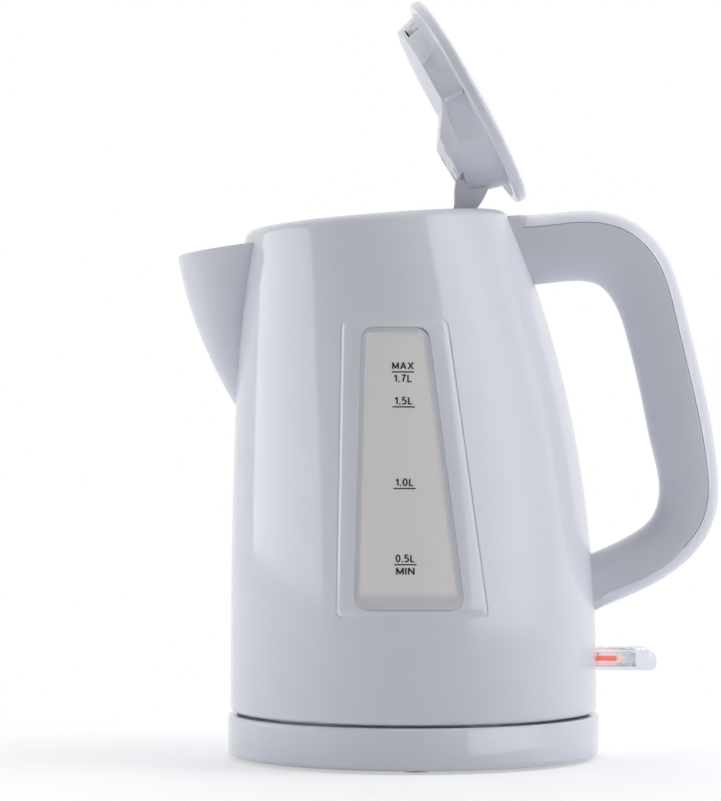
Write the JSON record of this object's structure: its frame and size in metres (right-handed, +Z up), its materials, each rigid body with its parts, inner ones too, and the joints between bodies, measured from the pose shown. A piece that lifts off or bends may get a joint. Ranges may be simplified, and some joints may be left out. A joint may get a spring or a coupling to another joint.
{
  "type": "electric kettle",
  "caption": "Cordless electric kettle with a leaning tapered jug, beak spout, water window, loop handle, hinged lid and a round power base it lifts off.",
  "frame": {"origin": "on the floor under the middle of the overall box", "axes": "+Z up, +X from the spout to the handle, -Y towards the water window"},
  "size_m": [0.2285, 0.157, 0.3195],
  "materials": {
    "white_gloss_plastic": "gloss white moulded plastic",
    "white_satin_plastic": "satin white moulded plastic",
    "frosted_window": "frosted translucent plastic",
    "clear_lever": "clear polycarbonate",
    "lamp_glass": "glass bulb with a red glow",
    "black_insulator": "black heat-proof moulding",
    "rubber_feet": "grey rubber",
    "silicone_seal": "white silicone",
    "stainless_steel": "brushed stainless steel",
    "aluminium": "pressed aluminium",
    "zinc_steel": "zinc-plated steel",
    "brass_contacts": "brass"
  },
  "bodies": {
    "power_base": {"base_top_cover": "white_gloss_plastic", "base_bottom_plate": "white_satin_plastic", "base_connector": "black_insulator", "base_contacts": "brass_contacts", "base_feet": "rubber_feet", "base_screws": "zinc_steel"},
    "jug": {"jug_body": "white_gloss_plastic", "water_window": "frosted_window", "bottom_cover": "white_satin_plastic", "bottom_screws": "zinc_steel", "heating_plate": "stainless_steel", "plate_seal": "silicone_seal", "heat_spreader": "aluminium", "heating_element": "aluminium", "plate_clamp_ring": "zinc_steel", "clamp_screws": "zinc_steel", "control_housing": "black_insulator", "connector_pins": "brass_contacts", "dry_boil_discs": "brass_contacts", "steam_bimetal": "brass_contacts", "contact_leaf": "brass_contacts", "lever_pin": "stainless_steel", "steam_tube": "white_gloss_plastic", "handle_core": "white_gloss_plastic", "handle_cover": "white_gloss_plastic", "handle_screws": "zinc_steel", "hinge_pin": "stainless_steel"},
    "lid": {"lid_cover": "white_gloss_plastic", "lid_body": "white_gloss_plastic", "lid_inner_plate": "white_gloss_plastic", "lid_hinge_bracket": "white_gloss_plastic", "lid_screws": "zinc_steel"},
    "spout_filter": {"filter_frame": "white_gloss_plastic", "filter_mesh": "stainless_steel"},
    "lever": {"switch_lever": "clear_lever", "neon_lamp": "lamp_glass"},
    "contact": {"contact_slider": "black_insulator"}
  },
  "joints": [
    {"name": "jug_lift", "type": "slide", "parent": "power_base", "child": "jug", "axis": [0, 0, 1], "range_m": [0, 0.08]},
    {"name": "lid_hinge", "type": "hinge", "parent": "jug", "child": "lid", "pos_m": [0.0239, 0, 0.2199], "axis": [0, -1, 0], "range_deg": [0, 65.6]},
    {"name": "filter_unclip", "type": "slide", "parent": "jug", "child": "spout_filter", "axis": [1, 0, 0], "range_m": [0, 0.015]},
    {"name": "switch_tilt", "type": "hinge", "parent": "jug", "child": "lever", "pos_m": [0.05185, 0, 0.0415], "axis": [0, -1, 0], "range_deg": [0, 10]},
    {"name": "contact_drop", "type": "slide", "parent": "jug", "child": "contact", "axis": [0, 0, -1], "range_m": [0, 0.0015]}
  ],
  "couplings": [
    {"joint": "contact_drop", "follows": "switch_tilt", "m_per_rad": 0.008537}
  ]
}
